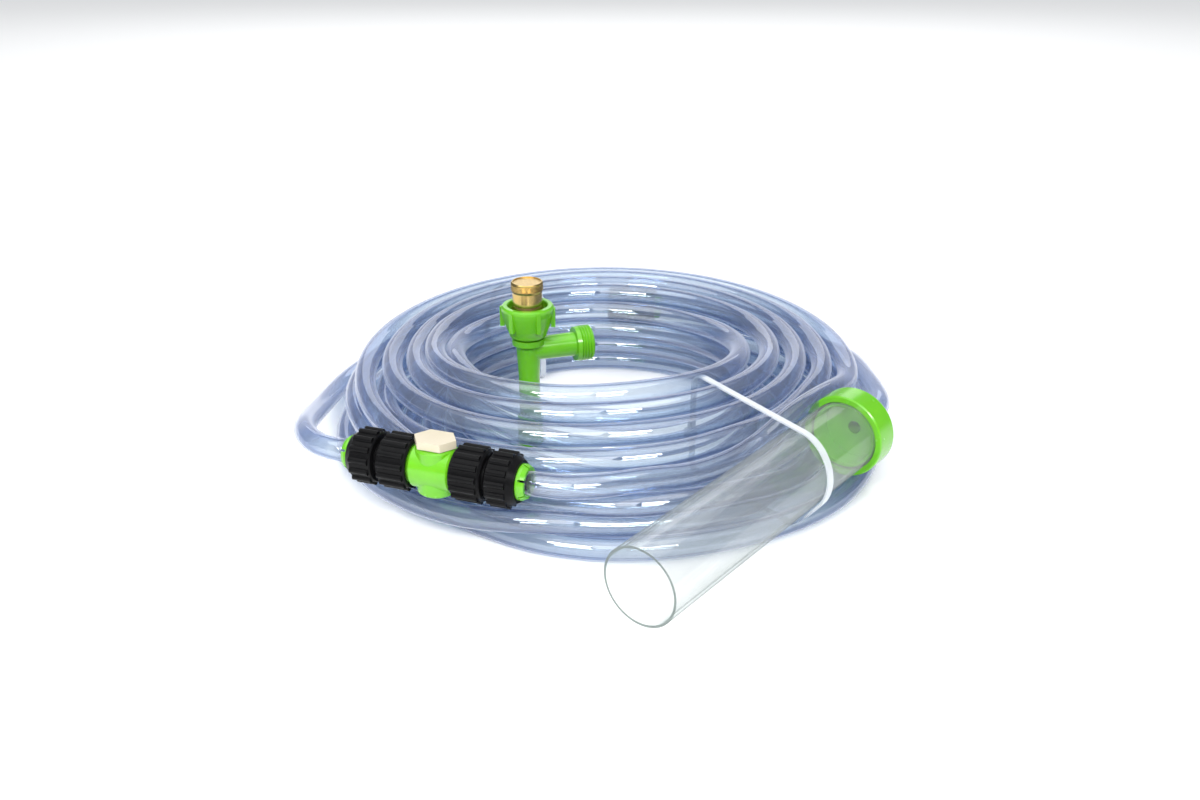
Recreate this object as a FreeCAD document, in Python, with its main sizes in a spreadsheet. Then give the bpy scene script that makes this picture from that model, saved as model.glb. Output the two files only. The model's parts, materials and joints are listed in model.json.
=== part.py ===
"""Gravel vacuum siphon: a clear gravel tube strapped to a coil of clear hose, with an in-line
shut-off valve and a tap pump standing inside the coil. Millimetres, +Z up, origin on the floor
below the middle of the rigid pieces."""
import FreeCAD, Part
import math
import os
import Sketcher
from FreeCAD import Placement, Rotation, Vector

DRIVING_SIZES = {
    # hose
    "hose_od": 15.88, "hose_bore": 12.7, "fit_gap": 0.15, "running_gap": 0.08,
    # gravel tube and its cap
    "tube_od": 50.8, "tube_wall": 1.6, "tube_length": 254.0, "tube_socket": 0.35,
    "cap_wall": 4.4, "cap_depth": 18.0, "cap_back": 3.6, "cap_spigot": 15.0, "cap_spigot_wall": 2.2,
    "cap_hub_r": 10.5, "cap_hub": 2.6, "cap_barb": 11.0,
    # garden hose thread, drawn as plain rings
    "thread_r": 13.45, "thread_pitch": 2.21, "thread_depth": 1.1,
    # shut-off valve
    "barrel_r": 15.0, "barrel_half": 14.5, "spigot_length": 15.5, "water_r": 4.8,
    "tower_r": 13.4, "tower_down": 17.0, "tower_up": 15.4,
    "ball_r": 9.2, "seat_length": 3.0, "stem_r": 3.9, "stem_tang": 3.0,
    "knob_length": 30.0, "knob_width": 20.0, "knob_depth": 5.4, "knob_gap": 0.5,
    # hose connector
    "nut_r": 16.9, "rib_proud": 1.9, "rib_r": 2.3, "rib_count": 14,
    "swivel_length": 21.6, "swivel_wall": 2.6, "washer_thick": 2.4, "flange_thick": 2.2,
    "tail_step": 1.35, "tail_length": 12.6, "barb_length": 14.0, "barb_r": 6.25,
    "hose_nut_length": 19.5, "nut_space": 3.4, "collet_r": 10.2, "collet_lip_r": 12.0,
    "collet_lip": 5.2, "collet_in": 9.0, "hose_nut_taper": 4.5,
    # tap pump
    "sleeve_r": 9.7, "sleeve_length": 24.0, "sleeve_over": 12.0,
    "pump_r": 8.0, "pump_top_r": 9.2, "pump_straight": 55.0, "pump_shoulder": 81.5, "pump_top": 87.0,
    "pump_flange_r": 12.3, "pump_bore": 5.2, "socket_r": 7.0, "socket_depth": 22.0,
    "port_height": 77.6, "port_r": 9.2, "port_bore": 6.3, "port_neck": 35.2, "port_collar": 3.6,
    "port_thread": 9.9,
    "cup_r": 19.7, "cup_base_r": 13.9, "cup_height": 24.4, "cup_wall": 2.4, "cup_mouth_r": 14.75,
    "cup_lug": 1.1, "cup_lug_width": 3.2, "cup_lugs": 6,
    "adapter_rim_r": 11.9, "adapter_neck_r": 11.05, "adapter_bore": 9.4, "adapter_proud": 18.0,
    "adapter_rim": 7.0, "strainer_r": 10.5, "strainer_thick": 0.9, "strainer_drop": 1.1,
    # cable ties
    "tie_width": 4.8, "tie_thick": 1.3, "tie_gap": 0.4, "tie_head": 8.0,
}

# Where things stand: a layout frame whose zero is moved to the origin by LAYOUT_SHIFT.
LAYOUT_SHIFT = Vector(-16.68, 207.73, 0)
COIL_CENTRE = Vector(4, -46, 0)
COIL_STRANDS = [(112, 9.8), (204, 9.8), (186, 50), (166, 61), (140, 67), (112, 69)]
TUBE_MOUTH = Vector(22, -347, 40.6)
TUBE_HEADING, TUBE_TILT = 51.5, 1.0
VALVE_PLACE, VALVE_HEADING = Vector(-106, -222.6, 52), -20.0
PUMP_PLACE, PORT_HEADING = Vector(-53.5, -80, 0), 18.0
END_TIP, END_HEADING = Vector(58, 180, 19.2), 170.0
FRONT_TIE_ANGLE, REAR_TIE_ANGLE = -52.0, 121.0

# Hand-chosen routes of the hose where it isn't coiled, in the layout frame.
CAP_TO_VALVE = [
    (208.6, -103.4, 45.3), (211.8, -79, 44), (213.2, -50, 41.2), (213.5, -19, 37),
    (211.5, 13, 31), (206.3, 45, 24.5), (196.4, 77, 18), (180.6, 108, 12.5), (158.5, 139, 9.8),
    (130, 169, 9.8), (95, 196, 9.8), (56, 214.5, 9.8), (14, 224, 9.8), (-28, 223, 9.8),
    (-68, 211, 9.8), (-105, 189, 9.8), (-138, 160, 9.8), (-166, 127, 9.8), (-189, 92, 9.8),
    (-205, 55, 9.8), (-214.5, 18, 11.5), (-219, -20, 16), (-219.8, -58, 23), (-218.8, -92, 31.5),
    (-216.6, -124.5, 40.5), (-213, -148.8, 46.8), (-206.8, -167.8, 50.4), (-196.7, -183.4, 51.7),
]
VALVE_TO_COIL = [
    (-12, -251.2, 51.9), (7.4, -247, 51.5), (31.5, -237.6, 51), (56.5, -223, 50.5),
]
COIL_TO_END = [(147.7, 91.7, 24), (135.4, 125.5, 21.3), (113.2, 153.9, 19.8), (88.6, 171.1, 19.3)]
STRAIGHT_END = 17.5

doc = FreeCAD.newDocument("GravelSiphon")
sheet = doc.addObject("Spreadsheet::Sheet", "Sizes")


class Size:
    """A length from the sheet, or a sum of such, with its value and its formula."""

    def __init__(self, value, text):
        self.value = float(value)
        self.text = text

    def __add__(self, other):
        other = as_size(other)
        return Size(self.value + other.value, f"({self.text} + {other.text})")

    def __sub__(self, other):
        other = as_size(other)
        return Size(self.value - other.value, f"({self.text} - {other.text})")

    def __mul__(self, factor):
        return Size(self.value * factor, f"({self.text} * {factor})")

    def __truediv__(self, divisor):
        return Size(self.value / divisor, f"({self.text} / {divisor})")

    def __radd__(self, other):
        return as_size(other) + self

    def __rsub__(self, other):
        return as_size(other) - self


def as_size(number):
    return number if isinstance(number, Size) else Size(number, f"{float(number)}")


S = {}
for row, (alias, number) in enumerate(DRIVING_SIZES.items(), start=1):
    sheet.set(f"A{row}", alias)
    sheet.set(f"B{row}", str(number))
    sheet.setAlias(f"B{row}", alias)
    S[alias] = Size(number, f"Sizes.{alias}")
doc.recompute()

parts = {}


def keep(name, item, placement=None):
    """Label a finished piece with its node name and stand it in its place."""
    item.Label = name
    if placement:
        item.Placement = placement
    parts[name] = item
    return item


def plane(body, role):
    return next(item for item in body.Origin.OriginFeatures if item.Role == role)


def bind(sketch, kind, geometry, point, size):
    """Fix one coordinate of a sketch point to a size, or to the axis when it is zero."""
    if size.value == 0:
        sketch.addConstraint(Sketcher.Constraint("PointOnObject", geometry, point,
                                                 -2 if kind == "DistanceX" else -1))
        return
    index = sketch.addConstraint(Sketcher.Constraint(kind, -1, 1, geometry, point, size.value))
    sketch.setExpression(f"Constraints[{index}]", size.text)


def outline_sketch(body, name, role, outline):
    """A closed straight-sided outline whose corners are all bound to the sheet."""
    sketch = body.newObject("Sketcher::SketchObject", name)
    sketch.AttachmentSupport = [(plane(body, role), "")]
    sketch.MapMode = "FlatFace"
    corners = [(as_size(x), as_size(y)) for x, y in outline]
    spots = [Vector(x.value, y.value, 0) for x, y in corners]
    count = len(spots)
    for i in range(count):
        sketch.addGeometry(Part.LineSegment(spots[i], spots[(i + 1) % count]), False)
    for i in range(count):
        sketch.addConstraint(Sketcher.Constraint("Coincident", i, 2, (i + 1) % count, 1))
    for i, (x, y) in enumerate(corners):
        bind(sketch, "DistanceX", i, 1, x)
        bind(sketch, "DistanceY", i, 1, y)
    return sketch


def turned(name, outline):
    """A body turned about its own Z axis from an outline of (radius, height) corners."""
    body = doc.addObject("PartDesign::Body", name)
    sketch = outline_sketch(body, f"{name}_profile", "XZ_Plane", outline)
    feature = body.newObject("PartDesign::Revolution", f"{name}_turn")
    feature.Profile = (sketch, [""])
    feature.ReferenceAxis = (sketch, ["V_Axis"])
    feature.Angle = 360
    return body


def padded(name, outline, start, height):
    """A body raised along its own Z axis from an outline of (x, y) corners."""
    body = doc.addObject("PartDesign::Body", name)
    sketch = outline_sketch(body, f"{name}_outline", "XY_Plane", outline)
    sketch.setExpression(".AttachmentOffset.Base.z", as_size(start).text)
    feature = body.newObject("PartDesign::Pad", f"{name}_pad")
    feature.Profile = (sketch, [""])
    feature.setExpression("Length", as_size(height).text)
    return body


def ribbed(body, ring_r, rib_r, start, height, count):
    """Round ribs along the outside of a turned body, repeated about its axis."""
    name = body.Name
    sketch = body.newObject("Sketcher::SketchObject", f"{name}_rib_outline")
    sketch.AttachmentSupport = [(plane(body, "XY_Plane"), "")]
    sketch.MapMode = "FlatFace"
    sketch.setExpression(".AttachmentOffset.Base.z", as_size(start).text)
    circle = Part.Circle(Vector(ring_r.value, 0, 0), Vector(0, 0, 1), rib_r.value)
    sketch.addGeometry(circle, False)
    bind(sketch, "DistanceX", 0, 3, ring_r)
    sketch.addConstraint(Sketcher.Constraint("PointOnObject", 0, 3, -1))
    index = sketch.addConstraint(Sketcher.Constraint("Radius", 0, rib_r.value))
    sketch.setExpression(f"Constraints[{index}]", rib_r.text)
    rib = body.newObject("PartDesign::Pad", f"{name}_rib")
    rib.Profile = (sketch, [""])
    rib.setExpression("Length", as_size(height).text)
    pattern = body.newObject("PartDesign::PolarPattern", f"{name}_ribs")
    pattern.Originals = [rib]
    pattern.Axis = (sketch, ["N_Axis"])
    pattern.Angle = 360
    pattern.setExpression("Occurrences", count.text)
    body.Tip = pattern
    return body


def cylinder(name, radius, start, length, axis="Z"):
    """A bound cylinder whose axis passes through the piece's own zero."""
    item = doc.addObject("Part::Cylinder", name)
    item.setExpression("Radius", as_size(radius).text)
    item.setExpression("Height", as_size(length).text)
    turn = {"X": Rotation(Vector(0, 1, 0), 90), "Y": Rotation(Vector(1, 0, 0), -90), "Z": Rotation()}
    item.Placement = Placement(Vector(), turn[axis])
    item.setExpression(f".Placement.Base.{axis.lower()}", as_size(start).text)
    return item


def box(name, size_x, size_y, size_z, base_z):
    """A bound box centred on its own Z axis."""
    item = doc.addObject("Part::Box", name)
    for key, size in (("Length", size_x), ("Width", size_y), ("Height", size_z)):
        item.setExpression(key, as_size(size).text)
    item.setExpression(".Placement.Base.x", (as_size(size_x) * -0.5).text)
    item.setExpression(".Placement.Base.y", (as_size(size_y) * -0.5).text)
    item.setExpression(".Placement.Base.z", as_size(base_z).text)
    return item


def fused(name, items):
    item = doc.addObject("Part::MultiFuse", name)
    item.Shapes = items
    return item


def cut(name, base, tool):
    item = doc.addObject("Part::Cut", name)
    item.Base = base
    item.Tool = tool
    return item


def rings(radius, depth, start, pitch, count, step):
    """Corners of thread-like rings along an outline: crests at radius, roots one depth away."""
    corners = []
    for i in range(count):
        low = start + pitch * (i * step)
        corners.append((radius - depth, low))
        corners.append((radius, low + pitch * (0.32 * step)))
        corners.append((radius, low + pitch * (0.55 * step)))
        corners.append((radius - depth, low + pitch * (0.87 * step)))
    return corners


def barb(root_r, crest_r, start, length, teeth, step=1):
    """Corners of a hose barb's teeth, each rising towards the piece that carries it."""
    corners = []
    for i in range(teeth):
        near = start + length * (i / teeth * step)
        corners.append((crest_r, near))
        corners.append((crest_r, near + length * (0.25 / teeth * step)))
        corners.append((root_r, near + length * (0.98 / teeth * step)))
    return corners


def heading(degrees):
    return Vector(math.cos(math.radians(degrees)), math.sin(math.radians(degrees)), 0)


def along(place, degrees, tilt=0.0):
    """Stand a piece's own Z axis along a heading, with an optional upward tilt."""
    turn = Rotation(Vector(0, 0, 1), degrees).multiply(Rotation(Vector(0, 1, 0), 90 - tilt))
    return Placement(place + LAYOUT_SHIFT, turn)


# ---------------------------------------------------------------- gravel tube and cap
tube_r = S["tube_od"] / 2
tube_bore = tube_r - S["tube_wall"]
tube_end = S["tube_length"]
tube_place = along(TUBE_MOUTH, TUBE_HEADING, TUBE_TILT)

socket_r = tube_bore + S["tube_socket"]
socket_low = tube_end - S["cap_spigot"] - 2.0
keep("gravel_tube", turned("GravelTube", [
    (tube_bore, 0), (tube_r, 0), (tube_r, tube_end), (socket_r, tube_end), (socket_r, socket_low),
    (tube_bore, socket_low),
]), tube_place)

cap_floor = tube_end + S["fit_gap"]
cap_r = tube_r + S["cap_wall"]
cap_back = cap_floor + S["cap_back"]
hub_end = cap_back + S["cap_hub"]
cap_tip = hub_end + S["cap_barb"]
spigot_r = socket_r - S["fit_gap"]
keep("tube_cap", turned("TubeCap", [
    (S["water_r"], cap_floor), (spigot_r - S["cap_spigot_wall"], cap_floor),
    (spigot_r - S["cap_spigot_wall"], tube_end - S["cap_spigot"]),
    (spigot_r, tube_end - S["cap_spigot"]), (spigot_r, cap_floor),
    (tube_r + S["fit_gap"], cap_floor), (tube_r + S["fit_gap"], tube_end - S["cap_depth"]),
    (cap_r - 0.8, tube_end - S["cap_depth"]), (cap_r, tube_end - S["cap_depth"] + 0.8),
    (cap_r, cap_back - 3.0), (cap_r - 1.0, cap_back - 1.2), (cap_r - 3.0, cap_back),
    (S["cap_hub_r"] + 1.5, cap_back), (S["cap_hub_r"], hub_end),
] + barb(S["barb_r"] - 0.7, S["barb_r"], hub_end, S["cap_barb"], 3) + [
    (S["barb_r"] - 0.7, cap_tip), (S["water_r"], cap_tip),
]), tube_place)


# ---------------------------------------------------------------- shut-off valve
spigot_tip = S["barrel_half"] + S["spigot_length"]
thread_root = S["thread_r"] - S["thread_depth"]
chamber_r = S["ball_r"] + 0.3
chamber_half = S["ball_r"] * 0.86 + S["seat_length"]


def valve_body():
    """The barrel with a hose thread at each end, and the upright housing of the stem."""
    upper = rings(S["thread_r"], S["thread_depth"], S["barrel_half"] + 2.2, S["thread_pitch"], 5, 1)
    lower = rings(S["thread_r"], S["thread_depth"], S["barrel_half"] * -1 - 2.2,
                  S["thread_pitch"], 5, -1)
    barrel = turned("ValveBarrel", [
        (S["water_r"], spigot_tip * -1), (thread_root, spigot_tip * -1),
    ] + lower[::-1] + [
        (S["barrel_r"] - 1.2, S["barrel_half"] * -1), (S["barrel_r"], S["barrel_half"] * -1 + 1.2),
        (S["barrel_r"], S["barrel_half"] - 1.2), (S["barrel_r"] - 1.2, S["barrel_half"]),
    ] + upper + [
        (thread_root, spigot_tip), (S["water_r"], spigot_tip),
    ])
    barrel.Placement = Placement(Vector(), Rotation(Vector(0, 1, 0), 90))
    tower = turned("ValveTower", [
        (0, S["tower_down"] * -1), (S["tower_r"] - 1.5, S["tower_down"] * -1),
        (S["tower_r"], S["tower_down"] * -1 + 1.5), (S["tower_r"], S["tower_up"] - 1.0),
        (S["tower_r"] - 1.0, S["tower_up"]), (0, S["tower_up"]),
    ])
    hollow = fused("ValveHollow", [
        cylinder("ValveWaterway", S["water_r"], spigot_tip * -1 - 1, spigot_tip * 2 + 2, "X"),
        cylinder("ValveChamber", chamber_r, chamber_half * -1, chamber_half + spigot_tip + 1, "X"),
        cylinder("ValveStemBore", S["stem_r"] + S["running_gap"], 0, S["tower_up"] + 1),
    ])
    return cut("ValveBody", fused("ValveCasting", [barrel, tower]), hollow)


valve_place = Placement(VALVE_PLACE + LAYOUT_SHIFT, Rotation(Vector(0, 0, 1), VALVE_HEADING))
keep("valve_body", valve_body(), valve_place)

ball = doc.addObject("Part::Sphere", "Ball")
ball.setExpression("Radius", S["ball_r"].text)
ball_cuts = fused("BallCuts", [
    cylinder("BallWay", S["water_r"], S["ball_r"] * -1, S["ball_r"] * 2, "X"),
    box("BallSlot", S["stem_r"] * 2 + 1, S["stem_tang"] + S["fit_gap"] * 2, S["ball_r"],
        S["ball_r"] - 2.4),
])
keep("valve_ball", cut("ValveBall", ball, ball_cuts), valve_place)


def seats():
    """Two ring seats, one each side of the ball."""
    rims = []
    for side, name in ((-1, "SeatA"), (1, "SeatB")):
        ring = turned(name, [
            (S["water_r"], chamber_half - S["seat_length"] + 1.1), (S["water_r"], chamber_half),
            (chamber_r - S["fit_gap"], chamber_half),
            (chamber_r - S["fit_gap"], chamber_half - S["seat_length"] + 1.1),
        ])
        ring.Placement = Placement(Vector(), Rotation(Vector(0, 1, 0), 90 * side))
        rims.append(ring)
    pair = doc.addObject("Part::Compound", "ValveSeats")
    pair.Links = rims
    return pair


keep("valve_seats", seats(), valve_place)

retainer = turned("SeatRetainer", [
    (S["water_r"], chamber_half + S["fit_gap"]), (chamber_r - S["fit_gap"], chamber_half + S["fit_gap"]),
    (chamber_r - S["fit_gap"], spigot_tip - 0.5), (S["water_r"], spigot_tip - 0.5),
])
keep("seat_retainer", retainer,
     valve_place.multiply(Placement(Vector(), Rotation(Vector(0, 1, 0), 90))))

stem_base = S["ball_r"] - 0.1
knob_base = S["tower_up"] + S["knob_gap"]
knob_square = S["stem_r"] * 1.3
groove_low = S["tower_up"] - 3.6
stem_round = turned("StemRound", [
    (0, stem_base), (S["stem_r"], stem_base), (S["stem_r"], groove_low),
    (S["stem_r"] - 1.2, groove_low), (S["stem_r"] - 1.2, groove_low + 1.8),
    (S["stem_r"], groove_low + 1.8), (S["stem_r"], knob_base), (0, knob_base),
])
stem_tang = box("StemTang", S["stem_r"] * 1.6, S["stem_tang"], 2.6, stem_base - 2.0)
stem_square = box("StemSquare", knob_square, knob_square, S["knob_depth"] * 0.6, knob_base - 0.2)
keep("valve_stem", fused("ValveStem", [stem_round, stem_tang, stem_square]), valve_place)

ring_r = (S["running_gap"] + 1.2) / 2
stem_ring = doc.addObject("Part::Torus", "StemRing")
stem_ring.setExpression("Radius1", (S["stem_r"] - 1.2 + ring_r).text)
stem_ring.setExpression("Radius2", ring_r.text)
stem_ring_place = Placement(Vector(0, 0, (groove_low + 0.9).value), Rotation())
keep("stem_o_ring", stem_ring, valve_place.multiply(stem_ring_place))


def knob():
    """The six-sided lever: long along the pipe when the valve is open."""
    half, side, nose = S["knob_length"] / 2, S["knob_width"] / 2, S["knob_length"] * 0.27
    lever = padded("KnobBlank", [
        (half, 0), (nose, side), (nose * -1, side), (half * -1, 0), (nose * -1, side * -1),
        (nose, side * -1),
    ], knob_base, S["knob_depth"])
    socket = box("KnobSocket", knob_square + S["fit_gap"], knob_square + S["fit_gap"],
                 S["knob_depth"] * 0.6 + 1.2, knob_base - 1)
    return cut("ValveKnob", lever, socket)


keep("valve_handle", knob(), valve_place)


# ---------------------------------------------------------------- hose connectors
swivel_start = S["barrel_half"] + 0.9
washer_low = spigot_tip + 0.2
flange_low = washer_low + S["washer_thick"]
tail_r = S["thread_r"] - S["tail_step"]
flange_high = flange_low + S["flange_thick"]
swivel_end = swivel_start + S["swivel_length"]
swivel_wall_low = swivel_end - S["swivel_wall"]
tail_end = swivel_end + S["tail_length"]
hose_seat = tail_end + 0.6
barb_tip = hose_seat + S["barb_length"]
nut_low = swivel_end + S["nut_space"]
nut_high = nut_low + S["hose_nut_length"]
female_r = S["thread_r"] + S["running_gap"] + 0.02
relief_r = female_r + 0.45
collar_bore = tail_r + S["running_gap"]


def washer():
    return turned("Washer", [
        (S["water_r"] + 2.4, washer_low), (female_r - 0.35, washer_low),
        (female_r - 0.35, flange_low - 0.05), (S["water_r"] + 2.4, flange_low - 0.05),
    ])


def connector_stem():
    """The barbed tail: a flange held in the swivel nut, a thread for the hose nut, a barb."""
    thread = rings(tail_r, 0.8, swivel_end + 1.4, S["thread_pitch"], 4, 1)
    return turned("ConnectorStem", [
        (S["water_r"], flange_low), (female_r - 0.25, flange_low), (female_r - 0.25, flange_high),
        (tail_r, flange_high), (tail_r, swivel_end + 1.2),
    ] + thread + [
        (tail_r - 0.8, tail_end), (S["hose_bore"] / 2, tail_end),
        (S["hose_bore"] / 2, hose_seat - 0.3),
    ] + barb(S["barb_r"] - 0.8, S["barb_r"], hose_seat, S["barb_length"], 4) + [
        (S["barb_r"] - 0.8, barb_tip), (S["water_r"], barb_tip),
    ])


def swivel_nut():
    """The ribbed nut that screws on a hose thread and turns freely on the stem's flange."""
    inside = rings(female_r + 0.9, 0.9, swivel_start + 1.4, S["thread_pitch"], 5, 1)
    nut = turned("SwivelNut", [
        (collar_bore, swivel_end), (S["nut_r"] - 1.4, swivel_end),
        (S["nut_r"], swivel_end - 1.4), (S["nut_r"], swivel_start + 0.8),
        (S["nut_r"] - 0.8, swivel_start), (female_r + 0.9, swivel_start),
    ] + inside + [
        (female_r, washer_low - 0.8), (relief_r, washer_low - 0.5), (relief_r, flange_high + 0.1),
        (collar_bore, flange_high + 0.1),
    ])
    return ribbed(nut, S["nut_r"] + S["rib_proud"] - S["rib_r"], S["rib_r"],
                  swivel_start + 1.6, S["swivel_length"] - 3.6, S["rib_count"])


def hose_nut():
    """The ribbed nut that closes the collet on the hose."""
    waist = nut_high - S["hose_nut_taper"]
    nut = turned("HoseNut", [
        (collar_bore, nut_low), (S["nut_r"] - 0.8, nut_low), (S["nut_r"], nut_low + 0.8),
        (S["nut_r"], waist), (S["nut_r"] - 3.0, nut_high), (S["collet_r"] + S["fit_gap"], nut_high),
        (S["collet_r"] + S["fit_gap"], waist), (collar_bore, waist - 2.0),
    ])
    return ribbed(nut, S["nut_r"] + S["rib_proud"] - S["rib_r"], S["rib_r"],
                  nut_low + 1.4, S["hose_nut_length"] - S["hose_nut_taper"] - 1.6, S["rib_count"])


def collet():
    """The split sleeve that the hose nut squeezes, with its lips outside the nut."""
    lip_low = nut_high + S["fit_gap"]
    lip_high = lip_low + S["collet_lip"]
    bore = S["hose_od"] / 2 + S["fit_gap"]
    ring = turned("ColletRing", [
        (bore, nut_high - S["collet_in"]), (S["collet_r"] - 0.4, nut_high - S["collet_in"]),
        (S["collet_r"], nut_high - S["collet_in"] + 0.8), (S["collet_r"], lip_low),
        (S["collet_lip_r"], lip_low), (S["collet_lip_r"], lip_low + 2.6),
        (S["collet_lip_r"] - 1.6, lip_high), (bore, lip_high),
    ])
    slot = box("ColletSlot", S["collet_lip_r"] * 3, 1.4, S["collet_in"], lip_high - 3.6)
    slots = [spun(f"ColletSlot{turn}", slot, turn) for turn in (0, 60, 120)]
    return cut("Collet", ring, fused("ColletSlots", slots))


def spun(name, item, degrees):
    """The same item turned about the Z axis."""
    copy = doc.addObject("Part::Compound", name)
    copy.Links = [item]
    copy.Placement = Placement(Vector(), Rotation(Vector(0, 0, 1), degrees))
    return copy


def copy_of(name, item):
    """A second piece of the same make."""
    copy = doc.addObject("Part::Compound", name)
    copy.Links = [item]
    return copy


CONNECTORS = {
    "valve_left": along(VALVE_PLACE, VALVE_HEADING + 180),
    "valve_right": along(VALVE_PLACE, VALVE_HEADING),
    "hose_end": along(END_TIP + heading(END_HEADING) * barb_tip.value, END_HEADING + 180),
}
CONNECTOR_PIECES = {
    "washer": washer(), "coupling_nut": swivel_nut(), "stem": connector_stem(),
    "hose_nut": hose_nut(), "collet": collet(),
}
for side, place in CONNECTORS.items():
    for piece, make in CONNECTOR_PIECES.items():
        keep(f"{side}_{piece}", copy_of(f"{side}_{piece}", make), place)


# ---------------------------------------------------------------- tap pump
pump_place = Placement(PUMP_PLACE + LAYOUT_SHIFT, Rotation(Vector(0, 0, 1), PORT_HEADING))
cup_low = S["pump_top"] + 1.6
cup_top = cup_low + S["cup_height"]
adapter_top = cup_top + S["adapter_proud"]
inlet_seat = cup_low + S["cup_wall"] + 0.2
inlet_top = inlet_seat + S["flange_thick"]
inlet_neck = S["socket_r"] + 1.6


def pump_body():
    """The upright tube with its side port; a cross hole lets the water out near the foot."""
    upright = turned("PumpUpright", [
        (0, S["sleeve_over"]), (S["pump_r"], S["sleeve_over"]), (S["pump_r"], S["pump_straight"]),
        (S["pump_top_r"], S["pump_shoulder"] - 4), (S["pump_top_r"], S["pump_shoulder"]),
        (S["pump_flange_r"], S["pump_shoulder"] + 1.0), (S["pump_flange_r"], S["pump_top"]),
        (0, S["pump_top"]),
    ])
    port_end = S["port_neck"] + S["port_collar"] + S["port_thread"]
    thread = rings(S["thread_r"], S["thread_depth"], S["port_neck"] + S["port_collar"] + 0.5,
                   S["thread_pitch"], 4, 1)
    port = turned("PumpPort", [
        (0, 0), (S["port_r"] - 0.6, 0), (S["port_r"], S["port_neck"]),
        (S["thread_r"] - 0.5, S["port_neck"] + 0.4),
        (S["thread_r"] - 0.1, S["port_neck"] + S["port_collar"]),
    ] + thread + [(thread_root, port_end - 0.3), (thread_root - 0.5, port_end), (0, port_end)])
    port.Placement = Placement(Vector(), Rotation(Vector(0, 1, 0), 90))
    port.setExpression(".Placement.Base.z", S["port_height"].text)
    way = cylinder("PumpSideWay", S["port_bore"], 12, port_end, "X")
    throat = cylinder("PumpSideThroat", S["pump_bore"], 0, 13, "X")
    for bore in (way, throat):
        bore.setExpression(".Placement.Base.z", S["port_height"].text)
    outlet = cylinder("PumpOutlet", 2.2, S["pump_r"] * -1 - 1, S["pump_r"] * 2 + 2, "Y")
    outlet.setExpression(".Placement.Base.z", (S["sleeve_over"] + 5.0).text)
    groove = turned("PumpGroove", [
        (S["pump_r"] - 1.3, S["sleeve_length"] - 3.4), (S["pump_r"] + 1, S["sleeve_length"] - 3.4),
        (S["pump_r"] + 1, S["sleeve_length"] - 1.6), (S["pump_r"] - 1.3, S["sleeve_length"] - 1.6),
    ])
    hollow = fused("PumpHollow", [
        cylinder("PumpWay", S["pump_bore"], S["sleeve_over"] + 2.4, S["pump_top"]),
        cylinder("PumpSocket", S["socket_r"], S["pump_top"] - S["socket_depth"], S["socket_depth"] + 1),
        way, throat, outlet, groove,
    ])
    return cut("PumpBody", fused("PumpCasting", [upright, port]), hollow)


keep("pump_body", pump_body(), pump_place)

jet_low = S["pump_top"] - S["socket_depth"] + 0.6
keep("pump_nozzle", turned("PumpNozzle", [
    (1.8, jet_low), (2.8, jet_low), (4.6, jet_low + 9), (4.6, S["pump_top"] - 1.2),
    (S["socket_r"] - 0.05, S["pump_top"] - 1.2), (S["socket_r"] - 0.05, S["pump_top"] + 0.2),
    (inlet_neck, S["pump_top"] + 0.2), (inlet_neck, inlet_seat), (female_r - 0.3, inlet_seat),
    (female_r - 0.3, inlet_top), (S["water_r"] + 1.4, inlet_top),
    (S["water_r"] + 1.4, S["pump_top"] + 1.5), (3.6, S["pump_top"] - 2.5), (3.6, jet_low + 11),
    (1.8, jet_low + 5),
]), pump_place)


def swivel_cup():
    """The bulging nut that screws on the tap adapter, with lugs for the fingers."""
    cup = turned("SwivelCup", [
        (inlet_neck + S["running_gap"], cup_low), (S["cup_base_r"] - 1.0, cup_low),
        (S["cup_base_r"], cup_low + 1.0), (S["cup_base_r"] + 0.5, cup_low + 3.0),
        (S["cup_base_r"] + 2.3, cup_low + 7.0), (S["cup_r"] - 1.8, cup_low + 13.0),
        (S["cup_r"] - 0.5, cup_low + 18.0), (S["cup_r"], cup_top - 3.0),
        (S["cup_r"] - 0.3, cup_top - 1.2), (S["cup_r"] - 1.4, cup_top),
        (S["cup_mouth_r"] + 0.6, cup_top), (S["cup_mouth_r"], cup_top - 0.8),
        (S["cup_mouth_r"], cup_top - 4.4), (female_r, cup_top - 5.4),
        (female_r, cup_low + S["cup_wall"]), (inlet_neck + S["running_gap"], cup_low + S["cup_wall"]),
    ])
    lug = box("CupLug", S["cup_lug"] * 3, S["cup_lug_width"], 15.0, cup_low + 7.6)
    lug.setExpression(".Placement.Base.x", (S["cup_r"] - S["cup_lug"] * 2.2).text)
    lugs = [spun(f"CupLug{i}", lug, i * 60 + 38) for i in range(DRIVING_SIZES["cup_lugs"])]
    return fused("PumpCup", [cup] + lugs)


keep("pump_swivel_nut", swivel_cup(), pump_place)

keep("pump_washer", turned("PumpWasher", [
    (S["water_r"] + 2.4, inlet_top + 0.1), (female_r - 0.3, inlet_top + 0.1),
    (female_r - 0.3, inlet_top + 0.1 + S["washer_thick"]),
    (S["water_r"] + 2.4, inlet_top + 0.1 + S["washer_thick"]),
]), pump_place)


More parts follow.
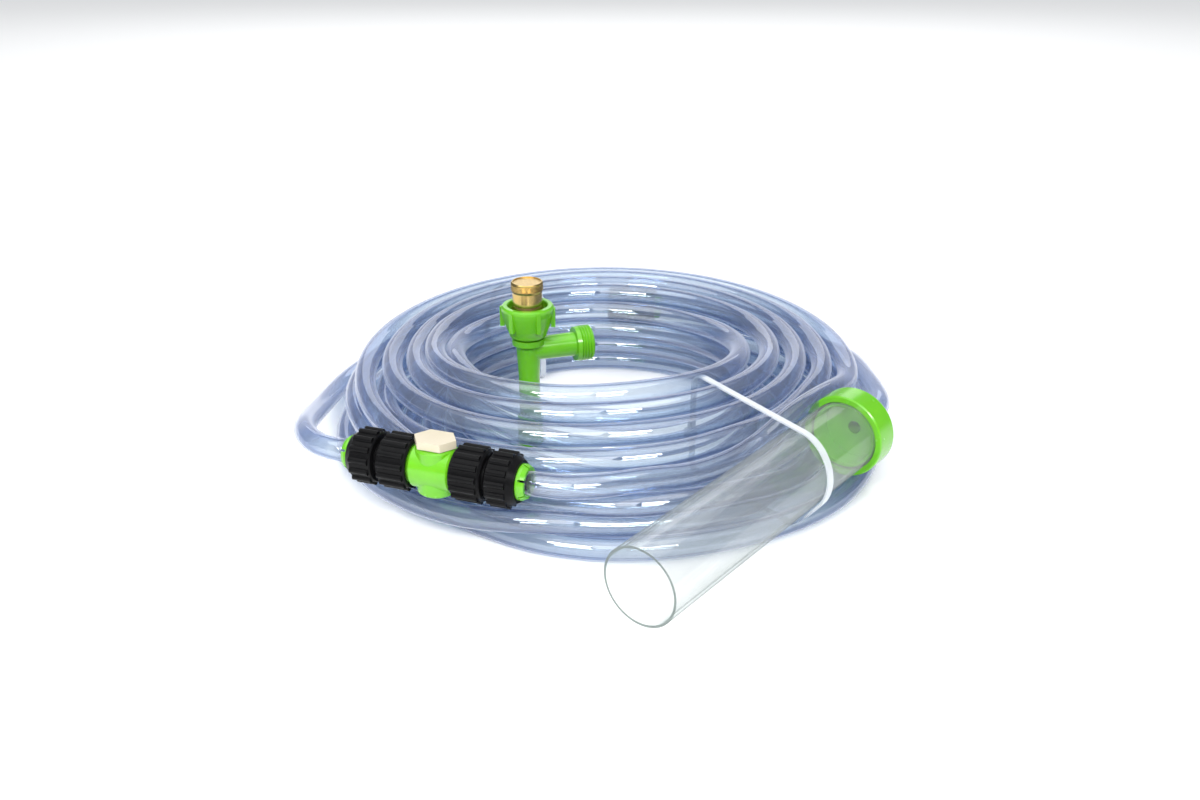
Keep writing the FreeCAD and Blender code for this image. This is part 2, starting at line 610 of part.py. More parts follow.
def faucet_adapter():
    """The turned brass adapter: a hose thread in the cup, a plain neck, a fine thread on top."""
    base = inlet_top + S["washer_thick"] + 0.3
    shoulder = cup_top - 5.0
    rim_low = adapter_top - S["adapter_rim"]
    lower = rings(S["thread_r"] - 0.02, S["thread_depth"], base + 0.8, S["thread_pitch"], 4, 1)
    fine = rings(S["adapter_rim_r"], 0.35, rim_low + 0.8, S["thread_pitch"] * 0.42, 5, 1)
    return turned("FaucetAdapter", [
        (S["adapter_bore"], base), (thread_root - 0.02, base),
    ] + lower + [
        (S["thread_r"] - 0.02, shoulder), (S["adapter_neck_r"] + 0.6, shoulder + 3.4),
        (S["adapter_neck_r"], shoulder + 5.6), (S["adapter_neck_r"], rim_low - 0.8),
    ] + fine + [
        (S["adapter_rim_r"], adapter_top - 0.9), (S["adapter_rim_r"] - 0.9, adapter_top),
        (S["strainer_r"] + 0.05, adapter_top),
        (S["strainer_r"] + 0.05, adapter_top - S["strainer_drop"] - S["strainer_thick"]),
        (S["adapter_bore"], adapter_top - S["strainer_drop"] - S["strainer_thick"]),
    ])


keep("faucet_adapter", faucet_adapter(), pump_place)

strainer_low = adapter_top - S["strainer_drop"] - S["strainer_thick"]
keep("adapter_strainer", turned("AdapterStrainer", [
    (0, strainer_low + 0.02), (S["strainer_r"], strainer_low + 0.02),
    (S["strainer_r"], strainer_low + S["strainer_thick"]),
    (0, strainer_low + S["strainer_thick"]),
]), pump_place)

relief_top = S["sleeve_length"] - 5.2
keep("drain_sleeve", turned("DrainSleeve", [
    (S["pump_bore"] + 0.6, 0), (S["sleeve_r"] - 0.8, 0), (S["sleeve_r"], 0.8),
    (S["sleeve_r"], S["sleeve_length"] - 0.8), (S["sleeve_r"] - 0.8, S["sleeve_length"]),
    (S["pump_r"] + S["running_gap"], S["sleeve_length"]),
    (S["pump_r"] + S["running_gap"], relief_top + 0.6), (S["sleeve_r"] - 0.8, relief_top),
    (S["sleeve_r"] - 0.8, 1.6), (S["pump_bore"] + 0.6, 1.6),
]), pump_place)

drain_ring = doc.addObject("Part::Torus", "DrainRing")
drain_ring.setExpression("Radius1", (S["pump_r"] - 1.3 + 0.69).text)
drain_ring.setExpression("Radius2", "0.69")
drain_ring_place = Placement(Vector(0, 0, (S["sleeve_length"] - 2.5).value), Rotation())
keep("drain_o_ring", drain_ring, pump_place.multiply(drain_ring_place))


# ---------------------------------------------------------------- coil, ties and hose leads
hose_r = DRIVING_SIZES["hose_od"] / 2


def hull_wire(circles):
    """The taut outline round circles (x, y, r) given in counter-clockwise order."""
    edges = []
    touches = []
    count = len(circles)
    for i in range(count):
        (x1, y1, r1), (x2, y2, r2) = circles[i], circles[(i + 1) % count]
        away = math.atan2(y2 - y1, x2 - x1)
        lean = math.asin((r1 - r2) / math.hypot(x2 - x1, y2 - y1))
        turn = away - math.pi / 2 + lean
        out = Vector(math.cos(turn), math.sin(turn), 0)
        touches.append((Vector(x1, y1, 0) + out * r1, Vector(x2, y2, 0) + out * r2, turn))
    for i in range(count):
        start, end, turn = touches[i]
        edges.append(Part.LineSegment(start, end).toShape())
        x, y, r = circles[(i + 1) % count]
        after = touches[(i + 1) % count]
        middle = turn + ((after[2] - turn) % (2 * math.pi)) / 2
        top = Vector(x + r * math.cos(middle), y + r * math.sin(middle), 0)
        edges.append(Part.Arc(end, top, after[0]).toShape())
    return Part.Wire(edges)


def plain(name, shape):
    """A sub-part whose shape is worked out with Part's own functions."""
    item = doc.addObject("Part::Feature", name)
    item.Shape = shape
    return item


def upright(degrees):
    """A vertical radial plane through the coil's centre: its x runs outward, its y up."""
    turn = Rotation(Vector(0, 0, 1), degrees).multiply(Rotation(Vector(1, 0, 0), 90))
    return Placement(COIL_CENTRE, turn)


def coil_solid():
    """The outer shape of the coiled hose, hollowed where the tube and the valve press in."""
    section = Part.Face(hull_wire([(x, z, hose_r) for x, z in COIL_STRANDS]))
    section.Placement = upright(0)
    ring = section.revolve(COIL_CENTRE, Vector(0, 0, 1), 360)
    rod = along(TUBE_MOUTH, TUBE_HEADING, TUBE_TILT)
    tube = Part.makeCylinder(DRIVING_SIZES["tube_od"] / 2 + 0.4, DRIVING_SIZES["tube_length"])
    collar = Part.makeCylinder(cap_r.value + 0.4, 40)
    collar.Placement = Placement(Vector(0, 0, DRIVING_SIZES["tube_length"] - 19), Rotation())
    clear = tube.fuse(collar)
    clear.Placement = Placement(TUBE_MOUTH, rod.Rotation)
    reach = (nut_high + S["collet_lip"]).value + 8
    valve = Part.makeCylinder((S["nut_r"] + S["rib_proud"]).value + 0.4, 2 * reach)
    turn = along(VALVE_PLACE, VALVE_HEADING).Rotation
    valve.Placement = Placement(VALVE_PLACE - heading(VALVE_HEADING) * reach, turn)
    tower = Part.makeCylinder((S["tower_r"] + 0.4).value, 60)
    tower.Placement = Placement(VALVE_PLACE - Vector(0, 0, S["tower_down"].value + 0.4), Rotation())
    return ring.cut([clear, valve, tower])


IN_LAYOUT = Placement(LAYOUT_SHIFT, Rotation())
keep("hose_coil", plain("HoseCoil", coil_solid()), IN_LAYOUT)


def tie_band(name, degrees, circles):
    """A flat band drawn tight round the circles, with its head at the coil's inner side."""
    gap, thick, width = (DRIVING_SIZES[key] for key in ("tie_gap", "tie_thick", "tie_width"))
    outer = Part.Face(hull_wire([(x, z, r + gap + thick) for x, z, r in circles]))
    inner = Part.Face(hull_wire([(x, z, r + gap) for x, z, r in circles]))
    band = outer.cut(inner)
    band.translate(Vector(0, 0, -width / 2))
    strap = band.extrude(Vector(0, 0, width))
    head_size = DRIVING_SIZES["tie_head"]
    inside = min(x - r for x, z, r in circles) - gap
    head = Part.makeBox(5.4, head_size, head_size, Vector(inside - 5.4, 26, -head_size / 2))
    tail = Part.makeBox(thick, head_size + 9, width, Vector(inside - 3.7, 24, -width / 2))
    tie = strap.fuse([head, tail]).removeSplitter()
    return keep(name, plain(name.title().replace("_", ""), tie), IN_LAYOUT.multiply(upright(degrees)))


coil_circles = [(x, z, hose_r) for x, z in COIL_STRANDS]
tie_heading = heading(FRONT_TIE_ANGLE)
across = heading(TUBE_HEADING - 90)
tube_reach = (TUBE_MOUTH - COIL_CENTRE).dot(across) / tie_heading.dot(across)
lean = math.cos(math.radians(TUBE_HEADING - 90 - FRONT_TIE_ANGLE))
run = (COIL_CENTRE + tie_heading * tube_reach - TUBE_MOUTH).dot(heading(TUBE_HEADING))
tube_height = TUBE_MOUTH.z + run * math.tan(math.radians(TUBE_TILT))
tube_circle = (tube_reach, tube_height, DRIVING_SIZES["tube_od"] / 2 / lean + 0.6)
tie_band("front_tie", FRONT_TIE_ANGLE, coil_circles[:2] + [tube_circle] + coil_circles[-1:])
tie_band("rear_tie", REAR_TIE_ANGLE, coil_circles)


def hose_lead(name, points):
    """A hose stretch: straight runs joined by tangent arcs as large as the runs allow."""
    radii = []
    edges = []
    here = points[0]
    for i in range(1, len(points) - 1):
        before, corner, after = points[i - 1], points[i], points[i + 1]
        back, ahead = (before - corner), (after - corner)
        shorter = min(back.Length, ahead.Length)
        back.normalize()
        ahead.normalize()
        half_turn = (math.pi - back.getAngle(ahead)) / 2
        reach = 0.45 * shorter
        radius = reach / math.tan(half_turn)
        radii.append(radius)
        first, last = corner + back * reach, corner + ahead * reach
        inward = (back + ahead)
        inward.normalize()
        middle = corner + inward * (radius / math.cos(half_turn) - radius)
        edges.append(Part.LineSegment(here, first).toShape())
        edges.append(Part.Arc(first, middle, last).toShape())
        here = last
    edges.append(Part.LineSegment(here, points[-1]).toShape())
    path = Part.Wire(edges)
    start = points[1] - points[0]
    ring = Part.Wire([Part.makeCircle(hose_r, points[0], start)])
    tube = path.makePipeShell([ring], True, True)
    expected = math.pi * hose_r ** 2 * path.Length
    print(f"{name}: length {path.Length:.1f} mm, volume ratio {tube.Volume / expected:.4f}, "
          f"radii {min(radii):.0f} to {max(radii):.0f} mm")
    return keep(name, plain(name.title().replace("_", ""), tube), IN_LAYOUT)


def tip_of(place, distance):
    """A point on a placed piece's own axis, in the layout frame."""
    return place.multVec(Vector(0, 0, distance)) - LAYOUT_SHIFT


def ahead_of(place, distance):
    return tip_of(place, distance + STRAIGHT_END)


cap_start = tip_of(tube_place, cap_tip.value)
left, right, end = (CONNECTORS[side] for side in ("valve_left", "valve_right", "hose_end"))
tip = barb_tip.value
hose_lead("hose_cap_to_valve", [cap_start, ahead_of(tube_place, cap_tip.value)] + [Vector(*p) for p in CAP_TO_VALVE]
          + [ahead_of(left, tip), tip_of(left, tip)])
hose_lead("hose_valve_to_coil", [tip_of(right, tip), ahead_of(right, tip)]
          + [Vector(*p) for p in VALVE_TO_COIL])
hose_lead("hose_coil_to_end", [Vector(*p) for p in COIL_TO_END]
          + [ahead_of(end, tip), tip_of(end, tip)])


# ---------------------------------------------------------------- checks and files
doc.recompute()
for item in doc.Objects:
    if "Invalid" in item.State or "Error" in item.State:
        raise RuntimeError(f"{item.Label} did not build: {item.State}")
for name, item in parts.items():
    if item.Shape.isNull() or not item.Shape.isValid():
        raise RuntimeError(f"{name} has no valid shape")
os.makedirs("parts", exist_ok=True)
for name, item in parts.items():
    item.Shape.exportStep(f"parts/{name}.step")
print(len(parts), "parts written")
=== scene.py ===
"""Gravel vacuum siphon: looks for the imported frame. Lengths in the tables below are millimetres in
the layout frame of the CAD model; spot() turns them into the row frame's metres."""
import json
import math

import bpy
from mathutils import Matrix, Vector

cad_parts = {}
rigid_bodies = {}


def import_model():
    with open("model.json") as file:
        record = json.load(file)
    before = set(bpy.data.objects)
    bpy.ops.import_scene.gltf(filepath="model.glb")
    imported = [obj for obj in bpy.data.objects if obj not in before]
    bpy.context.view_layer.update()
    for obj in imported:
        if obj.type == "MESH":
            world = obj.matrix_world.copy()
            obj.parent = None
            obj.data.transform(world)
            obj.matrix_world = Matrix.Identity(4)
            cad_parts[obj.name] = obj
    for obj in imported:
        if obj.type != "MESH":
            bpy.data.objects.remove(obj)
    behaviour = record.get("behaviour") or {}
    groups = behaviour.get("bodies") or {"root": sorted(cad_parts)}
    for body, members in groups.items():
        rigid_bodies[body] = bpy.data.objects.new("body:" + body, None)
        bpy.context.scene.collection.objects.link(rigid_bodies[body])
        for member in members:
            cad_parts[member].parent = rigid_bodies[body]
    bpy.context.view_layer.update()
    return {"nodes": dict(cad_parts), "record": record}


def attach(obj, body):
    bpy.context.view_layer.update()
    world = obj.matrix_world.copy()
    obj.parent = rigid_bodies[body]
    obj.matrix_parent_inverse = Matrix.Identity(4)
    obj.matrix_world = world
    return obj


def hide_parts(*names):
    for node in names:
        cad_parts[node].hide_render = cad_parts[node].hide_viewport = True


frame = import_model()
nodes = frame["nodes"]
scene = bpy.context.scene

SHIFT = Vector((-16.68, 207.73, 0))
HOSE_R, BORE_R = 7.94, 6.35
NUT_R, TUBE_R = 18.8, 25.4
VALVE_REACH, TUBE_REACH, CLEARANCE = 67, 262, 0.5
COIL_CENTRE = Vector((4, -46, 0))
FLOOR_REST = 8.2


def spot(point):
    return (Vector(point) + SHIFT) * 0.001


def heading(degrees, tilt=0.0):
    a, t = math.radians(degrees), math.radians(tilt)
    return Vector((math.cos(a) * math.cos(t), math.sin(a) * math.cos(t), math.sin(t)))


def smooth(x):
    x = min(max(x, 0.0), 1.0)
    return x * x * (3 - 2 * x)


# ---------------------------------------------------------------- where the connectors are
TUBE_MOUTH, TUBE_AXIS = Vector((22, -347, 40.6)), heading(51.5, 1.0)
VALVE, VALVE_AXIS = Vector((-106, -222.6, 52)), heading(-20)
END_TIP, END_AXIS = Vector((58, 180, 19.2)), heading(170)
CAP_TIP, BARB_TIP, STRAIGHT = 271.35, 64.2, 17.5
cap_tip = TUBE_MOUTH + TUBE_AXIS * CAP_TIP
left_tip = VALVE - VALVE_AXIS * BARB_TIP
right_tip = VALVE + VALVE_AXIS * BARB_TIP

# ---------------------------------------------------------------- routes
CAP_TO_VALVE = [
    (207.6, -103.4, 45.3), (209, -79, 43.6), (209, -50, 40.5), (209.5, -19, 36.5),
    (209.5, 13, 31), (205.3, 45, 24.5), (196.4, 77, 17), (180.6, 108, 11), (158.5, 139, 8.3),
    (130, 169, 8.2), (95, 196, 8.2), (56, 214.5, 8.2), (14, 224, 8.2), (-28, 223, 8.2),
    (-68, 211, 8.2), (-105, 189, 8.2), (-138, 160, 8.2), (-166, 127, 8.2), (-189, 92, 8.2),
    (-205, 55, 8.6), (-214.5, 18, 11), (-218, -20, 15.5), (-217.8, -58, 22.5), (-215.8, -92, 31),
    (-212.6, -124.5, 40), (-209, -148.8, 46.5), (-203.8, -167.8, 50.2), (-195.7, -183.4, 51.7),
]
VALVE_TO_COIL = [(-12, -250.2, 51.9), (7.4, -246, 51.3), (31.5, -236, 50.5)]
COIL_TO_END = [(147.7, 91.7, 23), (135.4, 125.5, 20.6), (113.2, 153.9, 19.4), (88.6, 171.1, 19.2)]

# One entry per turn: centre x and y, radius, height, and how far the back stands above the front.
TURNS = [
    (5.2, -46, 186.0, 54.8, 8.3), (6, -49, 196.0, 37.0, 0.5), (5, -47, 172.0, 36.0, 4.0),
    (5.1, -46, 166.0, 60.0, 6.4), (5.5, -46, 145.5, 64.5, 3.2), (2.3, -46, 128.5, 67.9, -2.0),
    (-3.5, -46, 112.0, 64.9, -11.1), (-2, -46, 111.5, 45.5, -8.0), (0, -46, 113.5, 28.0, -4.0),
    (2, -46, 117.0, 10.5, 0.0), (4, -47, 135.0, 8.2, 0.0), (5, -48, 153.5, 8.2, 0.0),
    (6, -49, 174.0, 8.2, 0.0), (6, -50, 204.0, 8.2, 0.0), (6, -50, 193.0, 20.6, 0.0),
    (6, -50, 193.0, 20.6, 0.0),
]
FIRST_AZIMUTH, STEPS, LAST_STEPS = -72.0, 24, 7
STEP_OVER = 0.30
GAP = 2 * HOSE_R + 0.15
SWEEPS, PULLED_SWEEPS, PULL = 90, 60, 0.06


def off_line(point, line, clear):
    """The push that takes a point clear of a line of points, or None."""
    best = None
    for a, b in zip(line, line[1:]):
        run = b - a
        t = min(max((point - a).dot(run) / run.length_squared, 0.0), 1.0)
        away = point - (a + run * t)
        if best is None or away.length < best.length:
            best = away
    if best.length >= clear:
        return None
    return best.normalized() * (clear - best.length)


def coil_points(obstacles):
    """The turns, one point every 15 degrees, each settled against its neighbours and the
    things that press into the coil."""
    total = (len(TURNS) - 2) * STEPS + LAST_STEPS + 1
    points = []
    for i in range(total):
        turn, step = divmod(i, STEPS)
        w = smooth((step / STEPS - 1 + STEP_OVER) / STEP_OVER)
        cx, cy, r, z, rise = (a + (b - a) * w for a, b in zip(TURNS[turn], TURNS[turn + 1]))
        out = heading(FIRST_AZIMUTH + i * 360 / STEPS)
        reach = r + (Vector((cx, cy, 0)) - COIL_CENTRE).dot(out)
        points.append([out, reach, z + rise * out.y])
    rest = [(p[1], p[2]) for p in points]
    for step in range(STEPS):
        strands = range(step, total, STEPS)
        for sweep in range(SWEEPS):
            for i in strands:
                if sweep < PULLED_SWEEPS:
                    points[i][1] += (rest[i][0] - points[i][1]) * PULL
                    points[i][2] += (rest[i][1] - points[i][2]) * PULL
                for k in strands:
                    if k <= i:
                        continue
                    dr, dz = points[k][1] - points[i][1], points[k][2] - points[i][2]
                    d = math.hypot(dr, dz)
                    if d < GAP:
                        push = (GAP - d) / 2 / d
                        points[i][1] -= dr * push
                        points[i][2] -= dz * push
                        points[k][1] += dr * push
                        points[k][2] += dz * push
                out, reach, z = points[i]
                here = COIL_CENTRE + out * reach + Vector((0, 0, z))
                for line, clear, first, last in obstacles:
                    push = off_line(here, line, clear) if first <= i <= last else None
                    if push:
                        points[i][1] += push.dot(out)
                        points[i][2] += push.z
                points[i][2] = max(points[i][2], FLOOR_REST)
    grow = 1 / math.cos(math.pi / STEPS)
    return [COIL_CENTRE + out * (reach * grow) + Vector((0, 0, z)) for out, reach, z in points]


cap_to_valve = ([cap_tip, cap_tip + TUBE_AXIS * STRAIGHT] + [Vector(p) for p in CAP_TO_VALVE]
                + [left_tip - VALVE_AXIS * STRAIGHT, left_tip])
lead_in = [right_tip, right_tip + VALVE_AXIS * STRAIGHT] + [Vector(p) for p in VALVE_TO_COIL]
lead_out = [Vector(p) for p in COIL_TO_END] + [END_TIP - END_AXIS * STRAIGHT, END_TIP]
valve_line = [VALVE - VALVE_AXIS * VALVE_REACH, VALVE + VALVE_AXIS * VALVE_REACH]
tube_line = [TUBE_MOUTH, TUBE_MOUTH + TUBE_AXIS * TUBE_REACH]
last_point = (len(TURNS) - 2) * STEPS + LAST_STEPS
# Each obstacle: its line, the distance to keep, and the first and last coil point that keep it.
coil = coil_points([
    (valve_line, NUT_R + HOSE_R + CLEARANCE, 0, last_point),
    (tube_line, TUBE_R + HOSE_R + CLEARANCE, 0, last_point),
    (cap_to_valve[:11], GAP, 0, last_point),
    (lead_in, GAP, 6, last_point),
    (lead_out, GAP, 0, last_point - 4),
])
valve_to_end = lead_in + coil + lead_out


def centreline(name, route):
    """The smooth line of a route, as its NURBS spline gives it."""
    data = bpy.data.curves.new(name, "CURVE")
    data.dimensions = "3D"
    data.resolution_u = 4
    spline = data.splines.new("NURBS")
    spline.points.add(len(route) - 1)
    for p, v in zip(spline.points, route):
        p.co = (*spot(v), 1)
    spline.order_u = 3
    spline.use_endpoint_u = True
    holder = bpy.data.objects.new(name, data)
    scene.collection.objects.link(holder)
    mesh = bpy.data.meshes.new_from_object(holder)
    line = [v.co.copy() for v in mesh.vertices]
    bpy.data.objects.remove(holder)
    bpy.data.meshes.remove(mesh)
    return line


def rings_along(line):
    """A frame at each point of a line that doesn't twist from one to the next."""
    side = Vector((0, 0, 1))
    frames = []
    for i, p in enumerate(line):
        ahead = (line[min(i + 1, len(line) - 1)] - line[max(i - 1, 0)]).normalized()
        side = (side - ahead * side.dot(ahead)).normalized()
        frames.append((p, side.copy(), ahead.cross(side)))
    return frames


def hose(name, line, segments=16):
    """A hose with its outside, its bore and its two cut ends as one closed mesh. The outside and
    the cut ends take the first material, the bore the second."""
    verts, faces, slots = [], [], []
    frames = rings_along(line)
    for radius in (HOSE_R, BORE_R):
        for p, u, v in frames:
            for s in range(segments):
                a = 2 * math.pi * s / segments
                verts.append(p + (u * math.cos(a) + v * math.sin(a)) * radius * 0.001)
    count = len(frames)
    inner = count * segments
    for i in range(count - 1):
        for s in range(segments):
            t = (s + 1) % segments
            a, b = i * segments, (i + 1) * segments
            faces.append((a + s, b + s, b + t, a + t))
            slots.append(0)
            faces.append((inner + a + s, inner + a + t, inner + b + t, inner + b + s))
            slots.append(1)
    for start, flip in ((0, False), ((count - 1) * segments, True)):
        for s in range(segments):
            t = (s + 1) % segments
            face = (start + s, start + t, inner + start + t, inner + start + s)
            faces.append(face[::-1] if flip else face)
            slots.append(0)
    mesh = bpy.data.meshes.new(name)
    mesh.from_pydata(verts, [], faces)
    mesh.polygons.foreach_set("material_index", slots)
    mesh.polygons.foreach_set("use_smooth", [True] * len(faces))
    mesh.update()
    obj = bpy.data.objects.new(name, mesh)
    scene.collection.objects.link(obj)
    return obj


# ---------------------------------------------------------------- materials
def material(name):
    """An empty material, its node tree and its output."""
    made = bpy.data.materials.new(name)
    made.use_nodes = True
    tree = made.node_tree
    tree.nodes.clear()
    return made, tree, tree.nodes.new("ShaderNodeOutputMaterial")


def node(tree, kind, **values):
    """A node with its sockets set by name: a number, a colour or another node's output."""
    made = tree.nodes.new(kind)
    for key, value in values.items():
        socket = made.inputs[key.replace("_", " ")]
        if isinstance(value, bpy.types.NodeSocket):
            tree.links.new(value, socket)
        elif isinstance(value, tuple):
            socket.default_value = (*value, 1)
        else:
            socket.default_value = value
    return made


def ramp(tree, source, stops):
    """A colour or grey ramp over a source, one (position, value) per stop."""
    made = tree.nodes.new("ShaderNodeValToRGB")
    while len(made.color_ramp.elements) < len(stops):
        made.color_ramp.elements.new(0.5)
    for element, (position, colour) in zip(made.color_ramp.elements, stops):
        element.position = position
        element.color = (*colour, 1) if isinstance(colour, tuple) else (colour, colour, colour, 1)
    tree.links.new(source, made.inputs["Fac"])
    return made.outputs["Color"]


def mixed(tree, factor, first, second):
    made = tree.nodes.new("ShaderNodeMixShader")
    tree.links.new(factor, made.inputs["Fac"])
    tree.links.new(first, made.inputs[1])
    tree.links.new(second, made.inputs[2])
    return made.outputs["Shader"]


def noise(tree, scale, detail=3.0):
    coordinates = tree.nodes.new("ShaderNodeTexCoord")
    made = node(tree, "ShaderNodeTexNoise", Scale=scale, Detail=detail)
    tree.links.new(coordinates.outputs["Object"], made.inputs["Vector"])
    return made.outputs["Fac"]


def clear(name, tint, haze, haze_colour, gloss, roughness):
    """A thin clear wall: tint and haze run from face-on to edge-on, with a coat of gloss."""
    made, tree, output = material(name)
    facing = node(tree, "ShaderNodeLayerWeight", Blend=0.5).outputs["Facing"]
    through = node(tree, "ShaderNodeBsdfTransparent", Color=ramp(tree, facing, tint))
    mist = node(tree, "ShaderNodeBsdfDiffuse", Color=haze_colour)
    body = mixed(tree, ramp(tree, facing, haze), through.outputs[0], mist.outputs[0])
    wave = node(tree, "ShaderNodeBump", Strength=0.12, Distance=0.0004, Height=noise(tree, 45.0, 2.0))
    shine = node(tree, "ShaderNodeBsdfGlossy", Color=(1.0, 1.0, 1.0), Roughness=roughness,
                 Normal=wave.outputs["Normal"])
    tree.links.new(mixed(tree, ramp(tree, facing, gloss), body, shine.outputs[0]),
                   output.inputs["Surface"])
    return made


def moulded(name, low, high, roughness, grain=900.0, depth=0.00006, coat=0.0, weight=0.0,
            shine=0.5):
    """Moulded plastic or rubber: a slight drift of colour and a fine grain."""
    made, tree, output = material(name)
    colour = ramp(tree, noise(tree, 35.0), [(0.3, low), (0.7, high)])
    bump = node(tree, "ShaderNodeBump", Strength=0.5, Distance=depth, Height=noise(tree, grain))
    rough = ramp(tree, noise(tree, 120.0), [(0.3, roughness * 0.85), (0.7, roughness * 1.15)])
    surface = node(tree, "ShaderNodeBsdfPrincipled", Base_Color=colour, Roughness=rough,
                   Normal=bump.outputs["Normal"], Coat_Weight=coat, Coat_Roughness=0.08,
                   Subsurface_Weight=weight, Subsurface_Scale=0.004,
                   Specular_IOR_Level=shine)
    tree.links.new(surface.outputs[0], output.inputs["Surface"])
    return made


def turned_metal(name, low, high, roughness):
    """Turned brass, with fine rings round the piece's axis."""
    made, tree, output = material(name)
    coordinates = tree.nodes.new("ShaderNodeTexCoord")
    stretch = node(tree, "ShaderNodeMapping")
    stretch.inputs["Scale"].default_value = (40, 40, 4000)
    tree.links.new(coordinates.outputs["Object"], stretch.inputs["Vector"])
    rings = node(tree, "ShaderNodeTexNoise", Scale=1.0, Detail=2.0, Vector=stretch.outputs["Vector"])
    bump = node(tree, "ShaderNodeBump", Strength=0.35, Distance=0.00004, Height=rings.outputs["Fac"])
    colour = ramp(tree, noise(tree, 60.0), [(0.3, low), (0.7, high)])
    surface = node(tree, "ShaderNodeBsdfPrincipled", Base_Color=colour, Metallic=1.0,
                   Roughness=roughness, Normal=bump.outputs["Normal"])
    tree.links.new(surface.outputs[0], output.inputs["Surface"])
    return made


def mesh_disc(name):
    """The strainer: a woven brass mesh, bright wires, with the holes between them painted dark as
    painted shade.
    """
    made, tree, output = material(name)
    coordinates = tree.nodes.new("ShaderNodeTexCoord")
    waves = []
    for direction in ("X", "Y"):
        wave = node(tree, "ShaderNodeTexWave", Scale=330.0)
        wave.bands_direction = direction
        tree.links.new(coordinates.outputs["Object"], wave.inputs["Vector"])
        waves.append(wave.outputs["Fac"])
    woven = tree.nodes.new("ShaderNodeMath")
    woven.operation = "MAXIMUM"
    for socket, wave in zip(woven.inputs, waves):
        tree.links.new(wave, socket)
    # painted shade: the low end of the weave is painted dark brown where the holes would show shade
    colour = ramp(tree, woven.outputs[0], [(0.35, (0.36, 0.22, 0.07)), (0.7, (0.88, 0.68, 0.36))])
    bump = node(tree, "ShaderNodeBump", Strength=0.5, Distance=0.0002, Height=woven.outputs[0])
    surface = node(tree, "ShaderNodeBsdfPrincipled", Base_Color=colour, Metallic=0.7, Roughness=0.42,
                   Normal=bump.outputs["Normal"])
    tree.links.new(surface.outputs[0], output.inputs["Surface"])
    return made


hose_skin = clear(
    "clear_hose_skin",
    [(0.0, (0.85, 0.89, 0.925)), (0.30, (0.79, 0.84, 0.895)), (0.42, (0.58, 0.655, 0.77)),
     (0.62, (0.56, 0.63, 0.77)), (0.80, (0.78, 0.81, 0.90)), (1.0, (0.80, 0.82, 0.90))],
    [(0.0, 0.04), (0.55, 0.06), (0.72, 0.30), (0.85, 0.55), (1.0, 0.7)], (0.70, 0.73, 0.84),
    [(0.0, 0.085), (0.6, 0.10), (0.85, 0.20), (1.0, 0.5)], 0.03)
hose_bore = clear(
    "clear_hose_bore",
    [(0.0, (0.96, 0.97, 0.98)), (0.5, (0.90, 0.93, 0.96)), (0.75, (0.66, 0.72, 0.83)),
     (1.0, (0.50, 0.58, 0.72))],
    [(0.0, 0.02), (0.6, 0.04), (0.85, 0.16), (1.0, 0.3)], (0.66, 0.70, 0.82),
    [(0.0, 0.05), (0.6, 0.07), (0.9, 0.14), (1.0, 0.5)], 0.03)
tube_wall = clear(
    "clear_tube_wall",
    [(0.0, (0.955, 0.96, 0.958)), (0.5, (0.95, 0.955, 0.953)), (0.75, (0.90, 0.91, 0.905)),
     (0.88, (0.58, 0.62, 0.61)), (1.0, (0.24, 0.29, 0.27))],
    [(0.0, 0.03), (0.7, 0.07), (0.9, 0.16), (1.0, 0.2)], (0.84, 0.87, 0.87),
    [(0.0, 0.035), (0.7, 0.05), (0.9, 0.10), (1.0, 0.4)], 0.03)
tube_rim = clear(
    "clear_tube_rim",
    [(0.0, (0.22, 0.27, 0.25)), (1.0, (0.12, 0.15, 0.14))],
    [(0.0, 0.25), (1.0, 0.3)], (0.20, 0.26, 0.24),
    [(0.0, 0.08), (0.8, 0.12), (1.0, 0.5)], 0.08)
tie_strap = clear(
    "clear_tie_strap",
    [(0.0, (0.96, 0.97, 0.98)), (1.0, (0.84, 0.87, 0.90))],
    [(0.0, 0.34), (1.0, 0.6)], (0.82, 0.85, 0.88),
    [(0.0, 0.05), (0.7, 0.08), (1.0, 0.5)], 0.2)
green = moulded("green_plastic", (0.105, 0.40, 0.009), (0.135, 0.46, 0.013), 0.24, coat=0.2, weight=0.1)
black = moulded("black_plastic", (0.003, 0.003, 0.0035), (0.006, 0.006, 0.0065), 0.34, grain=1400.0,
                shine=0.10)
cream = moulded("handle_plastic", (0.52, 0.46, 0.34), (0.58, 0.52, 0.40), 0.40)
ball_white = moulded("ball_plastic", (0.72, 0.72, 0.68), (0.80, 0.80, 0.77), 0.15)
rubber = moulded("seal_rubber", (0.012, 0.012, 0.012), (0.022, 0.022, 0.022), 0.6, depth=0.0001)
brass = turned_metal("brass", (0.50, 0.35, 0.12), (0.62, 0.45, 0.17), 0.20)
strainer = mesh_disc("strainer_mesh")

PAINT = {
    "clear_tube": tube_wall, "green_plastic": green, "black_plastic": black, "brass": brass,
    "handle_plastic": cream, "ball_plastic": ball_white, "seal_rubber": rubber,
    "tie_plastic": tie_strap, "strainer_brass": strainer,
}
for piece in frame["record"]["subparts"]:
    if piece["material_slot"] in PAINT:
        holder = bpy.data.objects[piece["node"]]
        holder.data.materials.clear()
        holder.data.materials.append(PAINT[piece["material_slot"]])
gravel_tube = nodes["gravel_tube"].data
gravel_tube.materials.append(tube_rim)
for polygon in gravel_tube.polygons:
    polygon.material_index = int(abs(polygon.normal.dot(TUBE_AXIS)) > 0.95)

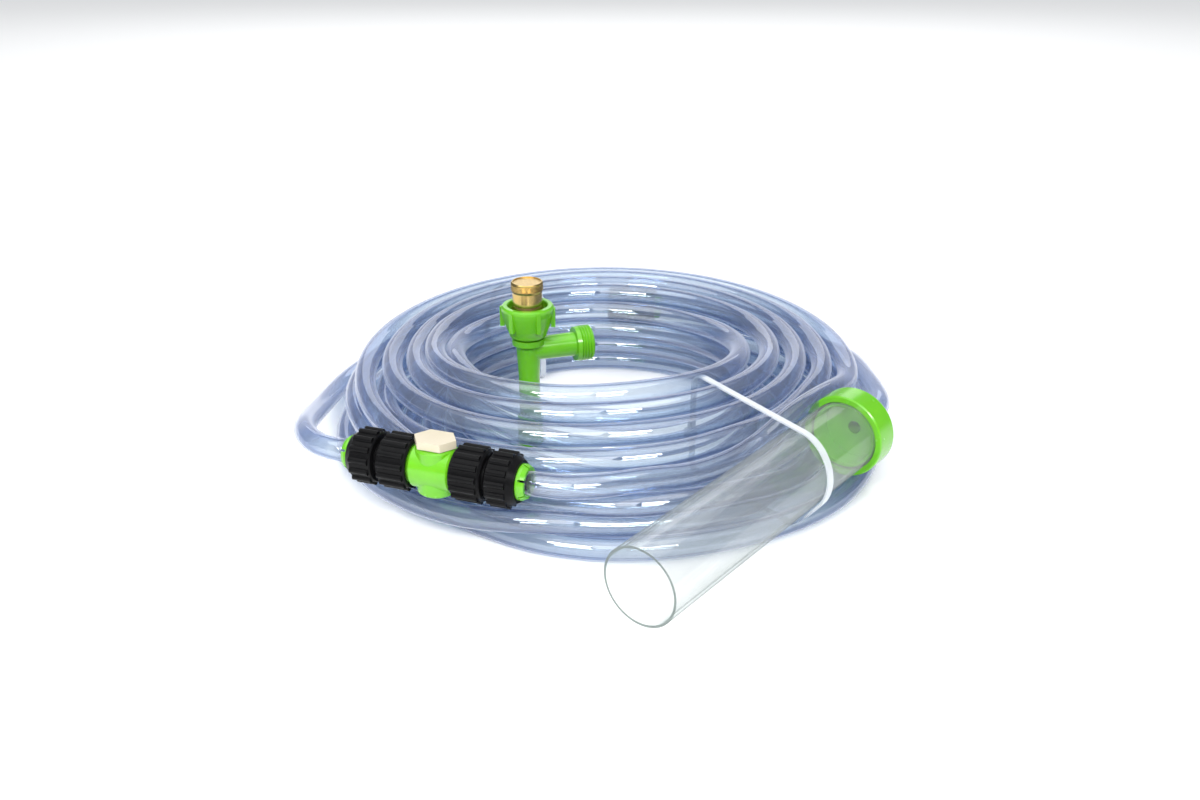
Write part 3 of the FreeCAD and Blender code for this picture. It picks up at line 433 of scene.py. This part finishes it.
cap_line = centreline("cap_line", cap_to_valve)
coil_line = centreline("coil_line", valve_to_end)
cord_a = hose("hose_a", cap_line)
cord_b = hose("hose_b", coil_line)
for cord in (cord_a, cord_b):
    cord.data.materials.append(hose_skin)
    cord.data.materials.append(hose_bore)
    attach(cord, "vacuum")
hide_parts("hose_cap_to_valve")
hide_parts("hose_coil", "hose_valve_to_coil", "hose_coil_to_end")

# ---------------------------------------------------------------- camera, floor and light
camera = bpy.data.objects.new("Camera", bpy.data.cameras.new("Camera"))
camera.data.lens, camera.data.sensor_width = 36, 36
camera.location = spot((0, -916.6, 410))
camera.rotation_euler = (math.radians(90 - 24.1), 0, 0)
scene.collection.objects.link(camera)
scene.camera = camera

scene.view_settings.view_transform = "Standard"
scene.cycles.transparent_max_bounces = 160

world = bpy.data.worlds.new("Studio")
scene.world = world
world.use_nodes = True
world.node_tree.nodes["Background"].inputs["Color"].default_value = (0.9, 0.95, 1, 1)
world.node_tree.nodes["Background"].inputs["Strength"].default_value = 0.24

floor_mesh = bpy.data.meshes.new("floor")
floor_corners = [(x, y, -0.0005) for x, y in ((-6, -6), (6, -6), (6, 9), (-6, 9))]
floor_mesh.from_pydata(floor_corners, [], [(0, 1, 2, 3)])
floor = bpy.data.objects.new("floor", floor_mesh)
scene.collection.objects.link(floor)
floor_paint, tree, output = material("floor_paint")
tree.links.new(node(tree, "ShaderNodeBsdfDiffuse", Color=(0.95, 0.95, 0.95)).outputs[0],
               output.inputs["Surface"])
floor_mesh.materials.append(floor_paint)


def softbox(name, place, aim, width, height, power):
    """An area light at a place, turned to a point."""
    light = bpy.data.lights.new(name, "AREA")
    light.shape, light.size, light.size_y, light.energy = "RECTANGLE", width, height, power
    holder = bpy.data.objects.new(name, light)
    holder.location = place
    holder.rotation_euler = (Vector(aim) - Vector(place)).to_track_quat("-Z", "Y").to_euler()
    scene.collection.objects.link(holder)


middle = spot((0, -120, 40))
softbox("strip_left", middle + Vector((-0.70, -1.35, 1.15)), middle, 0.62, 0.36, 19)
softbox("strip_right", middle + Vector((0.46, -1.45, 1.15)), middle, 0.58, 0.36, 19)
softbox("glow", middle + Vector((-0.16, -1.60, 1.30)), middle, 0.5, 1.0, 5)
softbox("overhead", middle + Vector((0, 0.6, 2.4)), middle, 3.6, 2.8, 19)
softbox("back", middle + Vector((0, 2.6, 1.3)), middle, 2.6, 0.9, 14)
sun = bpy.data.objects.new("sky", bpy.data.lights.new("sky", "SUN"))
sun.data.energy, sun.data.angle = 1.5, math.radians(70)
sun.rotation_euler = (math.radians(8), math.radians(-6), 0)
scene.collection.objects.link(sun)
